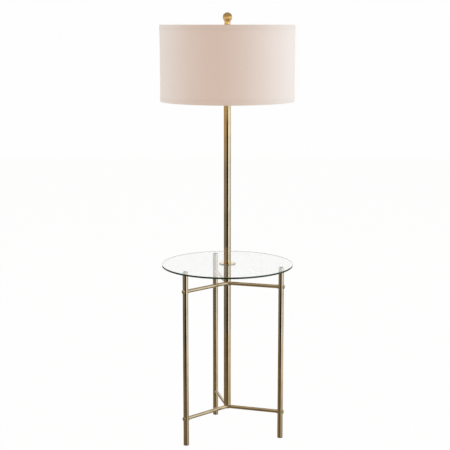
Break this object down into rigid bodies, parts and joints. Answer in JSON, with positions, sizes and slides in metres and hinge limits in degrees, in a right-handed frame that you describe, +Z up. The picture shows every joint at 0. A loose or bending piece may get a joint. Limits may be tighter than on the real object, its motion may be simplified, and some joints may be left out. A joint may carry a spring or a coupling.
{
  "type": "floor lamp with table",
  "caption": "Floor lamp with a round clear-glass side table built round its pole, tube legs joined by thin round struts, a fabric drum shade and a ball finial.",
  "frame": {"origin": "on the floor, on the pole's axis", "axes": "+Z up along the pole; -Y faces the viewer, with the rear leg on the +Y side"},
  "size_m": [0.46, 0.46, 1.4794],
  "materials": {
    "brass": "polished antique brass plate",
    "finial_brass": "polished gold brass",
    "harp_brass": "bright brass plate",
    "socket_brass": "bright brass",
    "steel": "zinc-plated steel",
    "table_glass": "clear float glass, polished edge",
    "dark_rubber": "matte dark rubber",
    "clear_bumper": "clear soft pad",
    "shade_fabric": "off-white woven fabric on a stiff backing",
    "shade_trim": "off-white folded fabric band",
    "holder": "black moulded holder",
    "liner": "insulating sleeve",
    "lead": "flexible lead",
    "bulb_glass": "white opal glass",
    "bulb_metal": "bright screw cap"
  },
  "bodies": {
    "stand": {"leg_left": "brass", "leg_right": "brass", "leg_rear": "brass", "upper_strut_left": "brass", "upper_strut_right": "brass", "upper_strut_rear": "brass", "lower_strut_left": "brass", "lower_strut_right": "brass", "lower_strut_rear": "brass", "lower_pole": "brass", "upper_pole": "brass", "leg_screws": "brass", "strut_saddles": "brass", "leg_top_plugs": "brass", "glass_flange": "brass", "pole_cap": "brass", "harp": "harp_brass", "harp_stud": "harp_brass", "harp_saddle": "harp_brass", "socket_cap": "socket_brass", "socket_shell": "socket_brass", "socket_screw_shell": "socket_brass", "socket_contact": "socket_brass", "terminal_screws": "socket_brass", "lower_hub": "steel", "upper_hub": "steel", "pole_plugs": "steel", "lower_nipple": "steel", "middle_nipple": "steel", "top_nipple": "steel", "saddle_nut": "steel", "strut_inserts": "steel", "glass_top": "table_glass", "leg_feet": "dark_rubber", "cord_grommet": "dark_rubber", "flange_gasket": "dark_rubber", "glass_bumpers": "clear_bumper", "socket_body": "holder", "socket_liner": "liner", "pole_wiring": "lead", "socket_leads": "lead"},
    "shade": {"shade_drum": "shade_fabric", "shade_top_trim": "shade_trim", "shade_bottom_trim": "shade_trim", "shade_top_ring": "steel", "shade_bottom_ring": "steel", "shade_arms": "steel", "shade_washer": "steel"},
    "finial": {"finial": "finial_brass"},
    "bulb": {"bulb_glass": "bulb_glass", "bulb_base": "bulb_metal", "bulb_insulator": "holder", "bulb_contact": "bulb_metal"},
    "switch": {"switch_shaft": "steel", "switch_knob": "holder"},
    "left_sleeve": {"harp_sleeve_left": "harp_brass"},
    "right_sleeve": {"harp_sleeve_right": "harp_brass"}
  },
  "joints": [
    {"name": "shade_turn", "type": "hinge", "parent": "stand", "child": "shade", "pos_m": [0, 0, 1.4262], "axis": [0, 0, 1], "continuous": true},
    {"name": "finial_turn", "type": "hinge", "parent": "stand", "child": "finial", "pos_m": [0, 0, 1.4284], "axis": [0, 0, 1], "continuous": true},
    {"name": "bulb_turn", "type": "hinge", "parent": "stand", "child": "bulb", "pos_m": [0, 0, 1.2362], "axis": [0, 0, 1], "continuous": true},
    {"name": "switch_turn", "type": "hinge", "parent": "stand", "child": "switch", "pos_m": [0, -0.0187, 1.23045], "axis": [0, -1, 0], "continuous": true},
    {"name": "left_sleeve_slide", "type": "slide", "parent": "stand", "child": "left_sleeve", "axis": [0, 0, 1], "range_m": [0, 0.012]},
    {"name": "right_sleeve_slide", "type": "slide", "parent": "stand", "child": "right_sleeve", "axis": [0, 0, 1], "range_m": [0, 0.012]}
  ]
}
